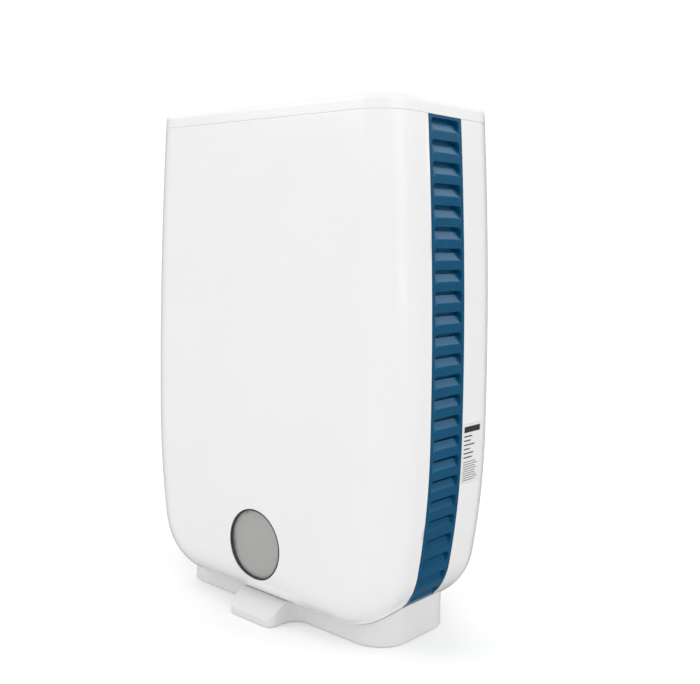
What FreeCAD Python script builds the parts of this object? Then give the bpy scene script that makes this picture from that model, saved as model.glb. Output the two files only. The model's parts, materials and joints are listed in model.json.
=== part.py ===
import FreeCAD, Part
import math
import os

# Portable desiccant dehumidifier, in millimetres.
# +Z is up, -Y is the front, +X is the right-hand side seen from the front.
# The origin is the centre of the footprint, on the floor.

# ---------------------------------------------------------------- overall size
HEIGHT = 498.0             # floor to the top of the lid
HALF_WIDTH = 170.6         # half the width at the widest level
DEPTH = 164.0              # front panel to back panel
WIDEST_Z = 190.0           # level where the side walls are widest
SIDE_UPPER_R = 3500.0      # arc of the side wall above the widest level
SIDE_LOWER_R = 700.0       # arc of the side wall below it
CORNER_TOP_Z = 70.0        # level where the lower corner round starts
CORNER_R = 64.0            # lower corner round
EDGE_R = 34.0              # round between the side walls and the front or back
LID_H = 16.0               # height of the lid's skirt
LID_ROUND = 8.0            # round along the lid's top edge

# ---------------------------------------------------------------- walls and fits
WALL = 3.0                 # moulded cover walls
SEAM = 0.4                 # visible joint between two covers
REST_GAP = 0.3             # gap where one part is carried by another
RUN_GAP = 0.06             # radial clearance of a turning shaft
FIT_GAP = 0.3              # clearance of a part that drops into an opening
TINY = 1.0                 # overshoot of a cutting tool

# ---------------------------------------------------------------- side grilles
GRILLE_FRONT_Y = -29.0
GRILLE_BACK_Y = 19.5
GRILLE_T = 7.0             # thickness of the louvred moulding
GRILLE_END_X = 142.5       # where the grille ends under the lower corner
GRILLE_MARGIN = 4.0        # plain edge along each side of the louvres
LOUVRE_COUNT = 24
LOUVRE_DEPTH = 5.0         # how deep a louvre leans in at its top
LOUVRE_LEN = 10.0          # length of its sloping face
LOUVRE_SLIT = 1.6          # air slit at its top

# ---------------------------------------------------------------- water window
WINDOW_Z = 75.0
WINDOW_R = 33.7            # clear radius of the lens
WINDOW_RING_T = 1.2
LENS_T = 2.0

# ---------------------------------------------------------------- covers at the rear
BACK_SPLIT_Y = 56.0        # seam between the rear shell and the back cover
INTAKE_HALF_W = 108.0
INTAKE_Z0 = 165.0
INTAKE_TOP_MARGIN = 34.0   # lid seam down to the top of the intake
INTAKE_T = 8.0             # thickness of the removable intake grille
SLAT_PITCH = 6.0
SLAT_GAP = 3.6
FILTER_T = 2.5
PORT_X = 125.0             # drain port at -X, cord entry at +X
PORT_Z = 145.0

# ---------------------------------------------------------------- stand
STAND_HALF_W = 143.0
STAND_HALF_D = 54.0
STAND_R = 32.0
STAND_WALL = 4.0
STAND_PLATE_T = 2.5
FOOT_TIP_HALF_W = 30.5     # half-width of the centre foot at its tip
FOOT_ROOT_HALF_W = 47.0    # and where it leaves the stand
FOOT_REACH = 35.0          # how far the foot stands out from the stand
FOOT_TIP_R = 9.0
FOOT_TIP_H = 7.0
FOOT_ROOT_H = 23.0
PAD_R = 7.0
PAD_T = 2.5
PAD_PROUD = 0.8            # how far the rubber pads lift the stand

# ---------------------------------------------------------------- water tank
TANK_HALF_W = 118.0
TANK_FRONT_Y = -72.0
TANK_Z0 = 26.0
TANK_TOP_Z = 116.0
TANK_WALL = 2.5
TANK_LID_T = 3.0
TANK_R = 12.0
TANK_GRIP_HALF_W = 42.0
TANK_GRIP_D = 16.0
SHELF_T = 2.5
SHELF_RISE = 5.5           # shelf underside above the top edge of the tank

# ---------------------------------------------------------------- desiccant wheel
MODULE = 2.5
WHEEL_TEETH = 96
PINION_TEETH = 12
GEAR_T = 8.0
TOOTH_ADDENDUM = 0.80      # in modules
TOOTH_DEDENDUM = 1.20
TOOTH_FILL = 0.40          # tooth thickness at the pitch circle, share of the pitch
MESH_GAP = 0.35            # extra distance between the two gear centres
WHEEL_T = 18.0
WHEEL_CORE_R = 112.0
WHEEL_HUB_R = 14.0
WHEEL_AXLE_R = 5.0
CASSETTE_Y0 = 8.0
CASSETTE_T = 26.0
CASSETTE_HALF_W = 138.0
PINION_ANGLE = 225.0       # where the pinion sits round the wheel, in degrees

# ---------------------------------------------------------------- fans
FAN_R = 85.0
FAN_BLADES = 30
SCROLL_R = 107.5
SCROLL_FRONT_Y = -60.0
SCROLL_BACK_Y = -6.0
SCROLL_WALL = 2.5
FAN_MOTOR_R = 28.0
FAN_SHAFT_R = 3.0
REGEN_X = 118.0
REGEN_RISE = 41.0          # axis above the shelf
REGEN_R = 34.0
REGEN_FAN_R = 27.0
REGEN_BLADES = 16
REGEN_SHAFT_R = 2.0
HOOD_HALF_H = 50.0         # heater hood over the drying sector of the wheel
HOOD_WALL = 2.0

# ---------------------------------------------------------------- lid fittings
OUTLET_HALF_W = 112.0
OUTLET_Y0 = -58.0
OUTLET_Y1 = -11.5
COLLAR_T = 4.0
FLAP_T = 4.0
FLAP_PIN_R = 2.0
FLAP_GAP = 0.6
PANEL_HALF_W = 110.0
PANEL_Y0 = -4.0
PANEL_Y1 = 20.0
PANEL_T = 2.0
PANEL_LEDGE = 4.0
PANEL_SINK = 1.0           # panel face below the lid's top
BUTTON_R = 6.0
BUTTON_XS = (-84.0, -58.0, 58.0, 84.0)
BUTTON_TRAVEL = 1.0
HANDLE_POCKET_HALF_W = 82.0
HANDLE_Y0 = 25.0
HANDLE_Y1 = 71.0
HANDLE_POCKET_WALL = 4.0
HANDLE_T = 9.5
HANDLE_W = 10.0
HANDLE_PIN_R = 2.5

# ---------------------------------------------------------------- small fittings
SCREW_R = 1.5
SCREW_HEAD_R = 3.2
COVER_SCREW_PLACES = ((-128.0, 205.0), (128.0, 205.0), (-128.0, 430.0), (128.0, 430.0))
STAND_SCREW_PLACES = ((-70.0, 0.0), (70.0, 0.0))
GLAND_R = 7.0
GLAND_BORE_R = 3.75
SPIGOT_R = 5.0
SPIGOT_CUP_R = 13.0
SPIGOT_DEPTH = 20.0
DRAIN_X = 60.0             # where condensed water drops into the tank
DRAIN_Y = 50.0
DRAIN_R = 5.0
LABEL_Y0 = 21.0            # blank rating label on the right-hand side
LABEL_Y1 = 51.0
LABEL_Z0 = 148.0
LABEL_Z1 = 205.0
LABEL_SINK = 0.5
TANK_FACE_Y = 62.0         # where the clear tank meets its face panel
TANK_GRIP_Z0 = 84.0
TANK_GRIP_Z1 = 104.0
TANK_GRIP_R = 8.0
FLOAT_X = -70.0
FLOAT_HALF_W = 16.0
FLOAT_PIVOT_Y = 30.0
FLOAT_PIVOT_Z = 107.0
FLOAT_PIN_R = 1.5
FLOAT_Z0 = 74.0
MAGNET_R = 5.0
MAGNET_T = 4.0

# ---------------------------------------------------------------- derived levels
SEAM_Z = HEIGHT - LID_H
FRONT_Y = -DEPTH / 2
BACK_Y = DEPTH / 2
CORNER_ANGLE = math.asin((WIDEST_Z - CORNER_TOP_Z) / SIDE_LOWER_R)
UPPER_CX = HALF_WIDTH - SIDE_UPPER_R
LOWER_CX = HALF_WIDTH - SIDE_LOWER_R
CORNER_CX = LOWER_CX + (SIDE_LOWER_R - CORNER_R) * math.cos(CORNER_ANGLE)
CORNER_CZ = WIDEST_Z - (SIDE_LOWER_R - CORNER_R) * math.sin(CORNER_ANGLE)
BODY_Z0 = CORNER_CZ - CORNER_R
SHELF_Z0 = TANK_TOP_Z + SHELF_RISE
SHELF_Z1 = SHELF_Z0 + SHELF_T
INTAKE_Z1 = SEAM_Z - INTAKE_TOP_MARGIN
WHEEL_Z = (SHELF_Z1 + SEAM_Z) / 2
WHEEL_PITCH_R = MODULE * WHEEL_TEETH / 2
PINION_PITCH_R = MODULE * PINION_TEETH / 2
WHEEL_TIP_R = WHEEL_PITCH_R + TOOTH_ADDENDUM * MODULE
WHEEL_Y0 = CASSETTE_Y0 + 2.0
WHEEL_Y1 = WHEEL_Y0 + WHEEL_T
FAN_Z = WHEEL_Z - 20.0
REGEN_Z = SHELF_Z1 + REGEN_RISE
FLAP_Y = OUTLET_Y1 - FLAP_GAP - FLAP_T
FLAP_Z = HEIGHT - FLAP_T
HANDLE_Y = HANDLE_Y1 - HANDLE_T / 2 - 1.5
HANDLE_Z = HEIGHT - 1.5 - HANDLE_T / 2
HANDLE_PIN_X = HANDLE_POCKET_HALF_W + HANDLE_POCKET_WALL - 0.6
PANEL_MID_Y = (PANEL_Y0 + PANEL_Y1) / 2
BOARD_Z1 = SEAM_Z + 2.8
LAMP_R = 1.5
LAMP_XS = (-38.0, -33.0, 33.0, 38.0)
DISPLAY_HALF_W = 26.0


# ================================================================ small helpers
def v(x, y, z):
    return FreeCAD.Vector(x, y, z)


def box(x0, x1, y0, y1, z0, z1):
    return Part.makeBox(x1 - x0, y1 - y0, z1 - z0, v(x0, y0, z0))


def cyl_x(y, z, r, x0, x1):
    return Part.makeCylinder(r, x1 - x0, v(x0, y, z), v(1, 0, 0))


def cyl_y(x, z, r, y0, y1):
    return Part.makeCylinder(r, y1 - y0, v(x, y0, z), v(0, 1, 0))


def cyl_z(x, y, r, z0, z1):
    return Part.makeCylinder(r, z1 - z0, v(x, y, z0), v(0, 0, 1))


def tube_y(x, z, r_out, r_in, y0, y1):
    return cyl_y(x, z, r_out, y0, y1).cut(cyl_y(x, z, r_in, y0 - TINY, y1 + TINY))


def round_edges(shape, radius, axis):
    """Round the straight edges that run along one axis (0, 1 or 2)."""
    picked = []
    for edge in shape.Edges:
        ends = edge.Vertexes
        if len(ends) != 2:
            continue
        step = ends[1].Point - ends[0].Point
        others = [abs(step[i]) for i in range(3) if i != axis]
        if max(others) < 1e-6 and abs(step[axis]) > 1e-6:
            picked.append(edge)
    return shape.makeFillet(radius, picked)


def round_box(x0, x1, y0, y1, z0, z1, radius, axis=2):
    return round_edges(box(x0, x1, y0, y1, z0, z1), radius, axis)


def joined(shapes):
    first = shapes[0]
    if len(shapes) == 1:
        return first
    return first.multiFuse(shapes[1:]).removeSplitter()


def turned_y(shape, x, z, degrees):
    copy = shape.copy()
    copy.rotate(v(x, 0, z), v(0, 1, 0), degrees)
    return copy


def mirrored_x(shape):
    return shape.mirror(v(0, 0, 0), v(1, 0, 0))


def write(node, shape):
    """One STEP file per node; a node of several solids is written as a compound."""
    solids = shape.Solids
    whole = solids[0] if len(solids) == 1 else Part.makeCompound(solids)
    whole.exportStep("parts/" + node + ".step")
    print(node, len(solids), "solids", round(whole.Volume), "mm3", whole.isValid())


# ================================================================ outer form
def side_x(z, inset=0.0):
    """Half-width of the body at a level at or above the lower corner round."""
    if z >= WIDEST_Z:
        radius = SIDE_UPPER_R - inset
        return UPPER_CX + math.sqrt(radius ** 2 - (z - WIDEST_Z) ** 2)
    radius = SIDE_LOWER_R - inset
    return LOWER_CX + math.sqrt(radius ** 2 - (z - WIDEST_Z) ** 2)


def on_arc(cx, cz, radius, angle):
    return v(cx + radius * math.cos(angle), 0, cz + radius * math.sin(angle))


def outline(inset, top_z):
    """Closed face of the body's outline in the XZ plane, drawn in by inset."""
    top = v(side_x(top_z, inset), 0, top_z)
    upper_mid = v(side_x((top_z + WIDEST_Z) / 2, inset), 0, (top_z + WIDEST_Z) / 2)
    widest = v(HALF_WIDTH - inset, 0, WIDEST_Z)
    lower_r = SIDE_LOWER_R - inset
    lower_mid = on_arc(LOWER_CX, WIDEST_Z, lower_r, -CORNER_ANGLE / 2)
    lower_end = on_arc(LOWER_CX, WIDEST_Z, lower_r, -CORNER_ANGLE)
    corner_r = CORNER_R - inset
    corner_mid = on_arc(CORNER_CX, CORNER_CZ, corner_r, -(CORNER_ANGLE + math.pi / 2) / 2)
    foot = v(CORNER_CX, 0, CORNER_CZ - corner_r)
    flip = [v(-p.x, 0, p.z) for p in (top, upper_mid, widest, lower_mid, lower_end, corner_mid, foot)]
    f_top, f_upper, f_widest, f_lower, f_end, f_corner, f_foot = flip
    edges = [
        Part.Arc(top, upper_mid, widest).toShape(),
        Part.Arc(widest, lower_mid, lower_end).toShape(),
        Part.Arc(lower_end, corner_mid, foot).toShape(),
        Part.LineSegment(foot, f_foot).toShape(),
        Part.Arc(f_foot, f_corner, f_end).toShape(),
        Part.Arc(f_end, f_lower, f_widest).toShape(),
        Part.Arc(f_widest, f_upper, f_top).toShape(),
        Part.LineSegment(f_top, top).toShape(),
    ]
    return Part.Face(Part.Wire(edges))


def envelope(inset, top_z=None, top_round=0.0):
    """Solid of the whole body drawn in by inset, with its front and back edges rounded."""
    top = HEIGHT if top_z is None else top_z
    face = outline(inset, top)
    face.translate(v(0, FRONT_Y + inset, 0))
    solid = face.extrude(v(0, DEPTH - 2 * inset, 0))
    rims = []
    for edge in solid.Edges:
        ys = [p.Point.y for p in edge.Vertexes]
        zs = [p.Point.z for p in edge.Vertexes]
        flat_rim = abs(ys[0] - ys[-1]) < 1e-6
        along_top = min(zs) > top - 1e-6
        if flat_rim and not along_top:
            rims.append(edge)
    solid = solid.makeFillet(EDGE_R - inset, rims)
    if top_round > 0:
        lip = [e for e in solid.Edges if min(p.Point.z for p in e.Vertexes) > top - 1e-6]
        solid = solid.makeFillet(top_round, lip)
    return solid


def span_y(shape, y0, y1):
    big = 2 * (HALF_WIDTH + HEIGHT)
    return shape.common(box(-big, big, y0, y1, -big, big))


def strip_path(s):
    """Point and outward normal of the side outline, s millimetres below the lid seam."""
    top_angle = math.asin((SEAM_Z - WIDEST_Z) / SIDE_UPPER_R)
    upper_len = SIDE_UPPER_R * top_angle
    lower_len = SIDE_LOWER_R * CORNER_ANGLE
    if s < upper_len:
        angle = top_angle - s / SIDE_UPPER_R
        point = on_arc(UPPER_CX, WIDEST_Z, SIDE_UPPER_R, angle)
    elif s < upper_len + lower_len:
        angle = -(s - upper_len) / SIDE_LOWER_R
        point = on_arc(LOWER_CX, WIDEST_Z, SIDE_LOWER_R, angle)
    else:
        angle = -CORNER_ANGLE - (s - upper_len - lower_len) / CORNER_R
        point = on_arc(CORNER_CX, CORNER_CZ, CORNER_R, angle)
    return point, angle


def strip_length():
    end_angle = math.acos((GRILLE_END_X - CORNER_CX) / CORNER_R)
    top_angle = math.asin((SEAM_Z - WIDEST_Z) / SIDE_UPPER_R)
    corner_len = CORNER_R * (end_angle - CORNER_ANGLE)
    return SIDE_UPPER_R * top_angle + SIDE_LOWER_R * CORNER_ANGLE + corner_len


# ================================================================ covers
def cover_shell():
    return envelope(0.0).cut(envelope(WALL, HEIGHT + TINY))


def front_cover(shell):
    cover = span_y(shell, FRONT_Y - TINY, GRILLE_FRONT_Y - SEAM)
    cover = cover.cut(box(-HEIGHT, HEIGHT, FRONT_Y - TINY, BACK_Y, SEAM_Z, HEIGHT + TINY))
    hole_r = WINDOW_R + FIT_GAP / 2 + WINDOW_RING_T + REST_GAP
    return cover.cut(cyl_y(0, WINDOW_Z, hole_r, FRONT_Y - TINY, FRONT_Y + 3 * WALL))


def window_ring():
    inner = WINDOW_R + FIT_GAP / 2
    back = TANK_FRONT_Y - FIT_GAP * 2
    ring = tube_y(0, WINDOW_Z, inner + WINDOW_RING_T, inner, FRONT_Y, back)
    flange_y = FRONT_Y + WALL
    flange = tube_y(0, WINDOW_Z, inner + 4.0, inner, flange_y, flange_y + 1.5)
    flange = flange.common(envelope(WALL + REST_GAP / 2))
    return ring.common(envelope(0.0)).fuse(flange).removeSplitter()


def window_lens():
    lens = envelope(REST_GAP).cut(envelope(REST_GAP + LENS_T))
    return lens.common(cyl_y(0, WINDOW_Z, WINDOW_R, FRONT_Y, FRONT_Y + CORNER_R))


def base_pan(shell):
    pan = span_y(shell, GRILLE_FRONT_Y, GRILLE_BACK_Y)
    edge = GRILLE_END_X - SEAM
    return pan.common(box(-edge, edge, FRONT_Y, BACK_Y, 0, WINDOW_Z))


def tank_tray():
    """Ribbed tray on the floor of the body that the tank slides on."""
    floor_z = BODY_Z0 + WALL
    top = TANK_Z0 - REST_GAP
    half_w = CORNER_CX - 2.0
    half_d = DEPTH / 2 - EDGE_R - 2.0
    tray = [box(-half_w, half_w, -half_d, half_d, top - 2.0, top)]
    for x in (-half_w, -half_w / 3, half_w / 3, half_w):
        side = 3.0 if x < 0 else -3.0
        tray.append(box(min(x, x + side), max(x, x + side), -half_d, half_d, floor_z, top - 2.0))
    return joined(tray)


def louvre_tools():
    """Wedge and slit cutters for every louvre of the right-hand grille."""
    pitch = strip_length() / LOUVRE_COUNT
    width = GRILLE_BACK_Y - GRILLE_FRONT_Y - 2 * GRILLE_MARGIN
    tools = []
    for i in range(LOUVRE_COUNT):
        point, angle = strip_path((i + 0.12) * pitch)
        out = v(math.cos(angle), 0, math.sin(angle))
        down = v(math.sin(angle), 0, -math.cos(angle))
        corners = []
        for along, rise in ((0, TINY), (0, -LOUVRE_DEPTH), (LOUVRE_LEN, 0), (LOUVRE_LEN, TINY)):
            corners.append(point + down * along + out * rise)
        slit = []
        deep = -(GRILLE_T + TINY)
        for along, rise in ((0, 0), (0, deep), (LOUVRE_SLIT, deep), (LOUVRE_SLIT, 0)):
            slit.append(point + down * along + out * rise)
        for outline_points in (corners, slit):
            wire = Part.makePolygon(outline_points + outline_points[:1])
            tool = Part.Face(wire).extrude(v(0, width, 0))
            tool.translate(v(0, GRILLE_FRONT_Y + GRILLE_MARGIN, 0))
            tools.append(tool)
    return tools


def side_grille_right():
    band = envelope(0.0).cut(envelope(GRILLE_T, HEIGHT + TINY))
    band = span_y(band, GRILLE_FRONT_Y, GRILLE_BACK_Y)
    band = band.common(box(GRILLE_END_X, HEIGHT, FRONT_Y, BACK_Y, 0, SEAM_Z))
    return band.cut(louvre_tools())


def chassis():
    """Side plates behind the grilles joined by the shelf over the tank bay."""
    outer = envelope(GRILLE_T + REST_GAP, SEAM_Z - 1.0)
    plates = outer.cut(envelope(GRILLE_T + REST_GAP + SHELF_T, SEAM_Z + TINY))
    plates = span_y(plates, GRILLE_FRONT_Y - 3.0, GRILLE_BACK_Y + 3.0)
    gap_half = TANK_HALF_W + 7.0
    plates = plates.cut(box(-gap_half, gap_half, FRONT_Y, BACK_Y, 0, SHELF_Z0))
    shelf = box(-HALF_WIDTH, HALF_WIDTH, FRONT_Y + 6.0, BACK_Y - 16.0, SHELF_Z0, SHELF_Z1)
    shelf = shelf.common(envelope(GRILLE_T + REST_GAP, SEAM_Z))
    drain = cyl_z(DRAIN_X, DRAIN_Y, DRAIN_R + 1.0, SHELF_Z0 - TINY, SHELF_Z1 + TINY)
    return plates.fuse(shelf).removeSplitter().cut(drain)


def rear_shell(shell):
    cover = span_y(shell, GRILLE_BACK_Y + SEAM, BACK_SPLIT_Y - SEAM / 2)
    cover = cover.cut(box(-HEIGHT, HEIGHT, FRONT_Y, BACK_Y, SEAM_Z, HEIGHT + TINY))
    return cover.cut(label_block(-TINY, LABEL_SINK, 0.0))


def label_block(inset_out, inset_in, margin):
    """The part of a thin skin of the body that lies under the rating label."""
    skin = envelope(inset_out, HEIGHT + 2).cut(envelope(inset_in, HEIGHT + 3))
    window = box(0, HEIGHT, LABEL_Y0 + margin, LABEL_Y1 - margin, LABEL_Z0 + margin, LABEL_Z1 - margin)
    return skin.common(window)


def rating_label():
    return label_block(LABEL_SINK / 4, LABEL_SINK, REST_GAP)


def tank_opening(y0):
    half = TANK_HALF_W + FIT_GAP * 2
    top = TANK_TOP_Z + TANK_LID_T + FIT_GAP * 3
    return box(-half, half, y0, BACK_Y + TINY, TANK_Z0 - REST_GAP, top)


def back_cover(shell):
    cover = span_y(shell, BACK_SPLIT_Y + SEAM / 2, BACK_Y + TINY)
    cover = cover.cut(box(-HEIGHT, HEIGHT, FRONT_Y, BACK_Y + TINY, SEAM_Z, HEIGHT + TINY))
    intake = INTAKE_HALF_W + FIT_GAP
    openings = [
        tank_opening(BACK_SPLIT_Y),
        box(-intake, intake, BACK_Y - 10, BACK_Y + TINY, INTAKE_Z0 - FIT_GAP, INTAKE_Z1 + FIT_GAP),
        cyl_y(-PORT_X, PORT_Z, SPIGOT_CUP_R + FIT_GAP / 2, BACK_Y - 6, BACK_Y + TINY),
        cyl_y(PORT_X, PORT_Z, GLAND_R + FIT_GAP / 2, BACK_Y - 6, BACK_Y + TINY),
    ]
    for x, z in COVER_SCREW_PLACES:
        openings.append(cyl_y(x, z, SCREW_HEAD_R + FIT_GAP / 2, BACK_Y - 1.6, BACK_Y + TINY))
        openings.append(cyl_y(x, z, SCREW_R, BACK_Y - 5, BACK_Y + TINY))
    return cover.cut(openings)


def cover_screws():
    screws = []
    for x, z in COVER_SCREW_PLACES:
        head = cyl_y(x, z, SCREW_HEAD_R, BACK_Y - 1.6, BACK_Y - 0.2)
        shank = cyl_y(x, z, SCREW_R, BACK_Y - 12, BACK_Y - 1.6)
        slot = box(x - 2.0, x + 2.0, BACK_Y - 0.9, BACK_Y, z - 0.4, z + 0.4)
        cross = box(x - 0.4, x + 0.4, BACK_Y - 0.9, BACK_Y, z - 2.0, z + 2.0)
        screws.append(head.fuse(shank).removeSplitter().cut([slot, cross]))
    return Part.makeCompound(screws)


def intake_grille():
    """Removable slatted panel in the back cover, with a finger notch at its top."""
    panel = box(-INTAKE_HALF_W, INTAKE_HALF_W, BACK_Y - INTAKE_T, BACK_Y - 0.3, INTAKE_Z0, INTAKE_Z1)
    rim = 8.0
    post = 5.0
    bay_w = (2 * INTAKE_HALF_W - 2 * rim - 2 * post) / 3
    slots = []
    z = INTAKE_Z0 + rim
    while z + SLAT_GAP < INTAKE_Z1 - rim - 14:
        for bay in range(3):
            x0 = -INTAKE_HALF_W + rim + bay * (bay_w + post)
            slots.append(box(x0, x0 + bay_w, BACK_Y - INTAKE_T - 1, BACK_Y + 1, z, z + SLAT_GAP))
        z += SLAT_PITCH
    notch = cyl_x(BACK_Y + 4, INTAKE_Z1 - 11, 9, -22, 22)
    return panel.cut(slots + [notch])


def filter_mesh():
    half_w = INTAKE_HALF_W - 3.0
    y1 = BACK_Y - INTAKE_T
    return box(-half_w, half_w, y1 - FILTER_T, y1, INTAKE_Z0 + 3.0, INTAKE_Z1 - 3.0)


def cord_gland():
    body = cyl_y(PORT_X, PORT_Z, GLAND_R, BACK_Y - 6.0, BACK_Y)
    body = body.fuse(cyl_y(PORT_X, PORT_Z, GLAND_R + 3, BACK_Y, BACK_Y + 2.5))
    body = body.fuse(cyl_y(PORT_X, PORT_Z, GLAND_R + 2, BACK_Y - 6.0, BACK_Y - WALL - 0.1))
    bore = cyl_y(PORT_X, PORT_Z, GLAND_BORE_R, BACK_Y - 10, BACK_Y + 10)
    return body.removeSplitter().cut(bore)


def drain_spigot():
    y0 = BACK_Y - SPIGOT_DEPTH
    cup = cyl_y(-PORT_X, PORT_Z, SPIGOT_CUP_R, y0, BACK_Y - 0.5)
    cup = cup.cut(cyl_y(-PORT_X, PORT_Z, SPIGOT_CUP_R - 1.5, y0 + 2.0, BACK_Y))
    inner_y = BACK_Y - WALL - 0.1
    flange = tube_y(-PORT_X, PORT_Z, SPIGOT_CUP_R + 2.5, SPIGOT_CUP_R - 1.0, inner_y - 2.1, inner_y)
    flange = flange.common(envelope(WALL + REST_GAP / 2))
    stub = cyl_y(-PORT_X, PORT_Z, SPIGOT_R, y0 + 1.0, BACK_Y - 4.0)
    bore = cyl_y(-PORT_X, PORT_Z, SPIGOT_R - 2.0, y0 - 1.0, BACK_Y)
    return cup.fuse([flange, stub]).removeSplitter().cut(bore)


def drain_plug():
    cap = cyl_y(-PORT_X, PORT_Z, SPIGOT_R + 2.0, BACK_Y - 14.0, BACK_Y - 1.0)
    grip = cyl_y(-PORT_X, PORT_Z, SPIGOT_R + 3.2, BACK_Y - 3.0, BACK_Y - 1.0)
    bore = cyl_y(-PORT_X, PORT_Z, SPIGOT_R + RUN_GAP, BACK_Y - 15.0, BACK_Y - 4.0 + FIT_GAP)
    return cap.fuse(grip).removeSplitter().cut(bore)


# ================================================================ stand
def foot_plan():
    """Plan of the stand's centre foot: hollow curves into a rounded tip, towards -Y."""
    y_root = -STAND_HALF_D
    y_tip = y_root - FOOT_REACH
    tip = FOOT_TIP_HALF_W
    root = FOOT_ROOT_HALF_W
    flare = root - tip
    r = FOOT_TIP_R
    bend = math.sqrt(0.5)
    inner = v(root, y_root + 6.0, 0)
    waist = v(tip, y_root - flare, 0)
    flare_mid = v(root - flare * bend, y_root - flare + flare * bend, 0)
    before = v(tip, y_tip + r, 0)
    round_mid = v(tip - r + r * bend, y_tip + r - r * bend, 0)
    after = v(tip - r, y_tip, 0)
    root_point = v(root, y_root, 0)
    right = (inner, root_point, flare_mid, waist, before, round_mid, after)
    left = [v(-p.x, p.y, 0) for p in right]
    edges = [
        Part.makeLine(right[0], right[1]),
        Part.Arc(right[1], right[2], right[3]).toShape(),
        Part.makeLine(right[3], right[4]),
        Part.Arc(right[4], right[5], right[6]).toShape(),
        Part.makeLine(right[6], left[6]),
        Part.Arc(left[6], left[5], left[4]).toShape(),
        Part.makeLine(left[4], left[3]),
        Part.Arc(left[3], left[2], left[1]).toShape(),
        Part.makeLine(left[1], left[0]),
        Part.makeLine(left[0], right[0]),
    ]
    return Part.Face(Part.Wire(edges))


def foot_block(z0):
    """The centre foot: its plan raised, and cut off by a domed ramp."""
    plan = foot_plan()
    plan.translate(v(0, 0, z0))
    prism = plan.extrude(v(0, 0, FOOT_ROOT_H + 20))
    y_root = -STAND_HALF_D
    y_tip = y_root - FOOT_REACH
    low = v(-HALF_WIDTH, y_tip, FOOT_TIP_H)
    mid = v(-HALF_WIDTH, y_tip + FOOT_REACH * 0.42, (FOOT_TIP_H + FOOT_ROOT_H) / 2 + 3.2)
    high = v(-HALF_WIDTH, y_root, FOOT_ROOT_H)
    inner = v(-HALF_WIDTH, y_root + 8, FOOT_ROOT_H)
    edges = [
        Part.Arc(low, mid, high).toShape(),
        Part.makeLine(high, inner),
        Part.makeLine(inner, v(-HALF_WIDTH, y_root + 8, 0)),
        Part.makeLine(v(-HALF_WIDTH, y_root + 8, 0), v(-HALF_WIDTH, y_tip, 0)),
        Part.makeLine(v(-HALF_WIDTH, y_tip, 0), low),
    ]
    ramp = Part.Face(Part.Wire(edges)).extrude(v(2 * HALF_WIDTH, 0, 0))
    return prism.common(ramp)


def stand_block(inset, z0, top):
    half_w = STAND_HALF_W - inset
    half_d = STAND_HALF_D - inset
    return round_box(-half_w, half_w, -half_d, half_d, z0, top, STAND_R - inset)


def pad_places():
    x = STAND_HALF_W - STAND_R
    y = STAND_HALF_D - PAD_R - 6.0
    tip_y = STAND_HALF_D + FOOT_REACH - PAD_R - 4.0
    return ((-x, -y), (x, -y), (-x, y), (x, y), (0, -tip_y), (0, tip_y))


def stand():
    z0 = PAD_PROUD
    top = BODY_Z0 + EDGE_R
    block = stand_block(0.0, z0, top)
    foot = foot_block(z0)
    rear = foot.mirror(v(0, 0, 0), v(0, 1, 0))
    block = block.fuse([foot, rear]).removeSplitter()
    block = block.cut(envelope(-REST_GAP))
    hollow = stand_block(STAND_WALL, z0 - TINY, top).cut(envelope(-REST_GAP - STAND_WALL))
    block = block.cut(hollow)
    tools = []
    for x, y in pad_places():
        tools.append(cyl_z(x, y, PAD_R + FIT_GAP / 2, z0 - TINY, PAD_T))
    return block.cut(tools)


def stand_plate():
    """Plate that closes the stand from below, level with its rim."""
    plate = stand_block(STAND_WALL + FIT_GAP, PAD_PROUD, PAD_PROUD + STAND_PLATE_T)
    plate_z1 = PAD_PROUD + STAND_PLATE_T + TINY
    tools = [cyl_z(x, y, PAD_R + FIT_GAP / 2, 0, plate_z1) for x, y in pad_places()]
    for x, y in STAND_SCREW_PLACES:
        tools.append(cyl_z(x, y, SCREW_R + FIT_GAP / 2, 0, 20))
        tools.append(cyl_z(x, y, SCREW_HEAD_R + FIT_GAP / 2, 0, PAD_PROUD + 1.4))
    return plate.cut(tools)


def stand_screws():
    screws = []
    for x, y in STAND_SCREW_PLACES:
        head = cyl_z(x, y, SCREW_HEAD_R, PAD_PROUD + 0.1, PAD_PROUD + 1.4)
        shank = cyl_z(x, y, SCREW_R - 0.1, PAD_PROUD + 1.4, BODY_Z0 - STAND_WALL - 1.5)
        screws.append(head.fuse(shank).removeSplitter())
    return Part.makeCompound(screws)


def rubber_pads():
    return Part.makeCompound([cyl_z(x, y, PAD_R, 0, PAD_T) for x, y in pad_places()])


# ================================================================ water tank
def tank_body_space(inset):
    """The block the tank fills, drawn in by inset; its rear follows the back cover."""
    half = TANK_HALF_W - inset
    y0 = TANK_FRONT_Y + inset
    z0 = TANK_Z0 + inset
    block = box(-half, half, y0, BACK_Y + TINY, z0, TANK_TOP_Z + TANK_LID_T + 0.5)
    block = round_edges(block, max(TANK_R - inset, 1.0), 1)
    rear = span_y(block, 0, BACK_Y + TINY).common(envelope(inset))
    front = span_y(block, y0 - TINY, 0).common(envelope(WALL + 1.0 + inset))
    return front.fuse(rear).removeSplitter()


def water_tank():
    """Clear open box in front of the tank's face panel."""
    half = TANK_HALF_W + TINY
    tank = span_y(tank_body_space(0.0), TANK_FRONT_Y - TINY, TANK_FACE_Y)
    inside = span_y(tank_body_space(TANK_WALL), TANK_FRONT_Y, TANK_FACE_Y - TANK_WALL)
    inside = inside.fuse(inside.translated(v(0, 0, 12)))
    rim = box(-half, half, TANK_FRONT_Y - TINY, BACK_Y, TANK_TOP_Z, HEIGHT)
    return tank.cut([inside, rim])


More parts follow.
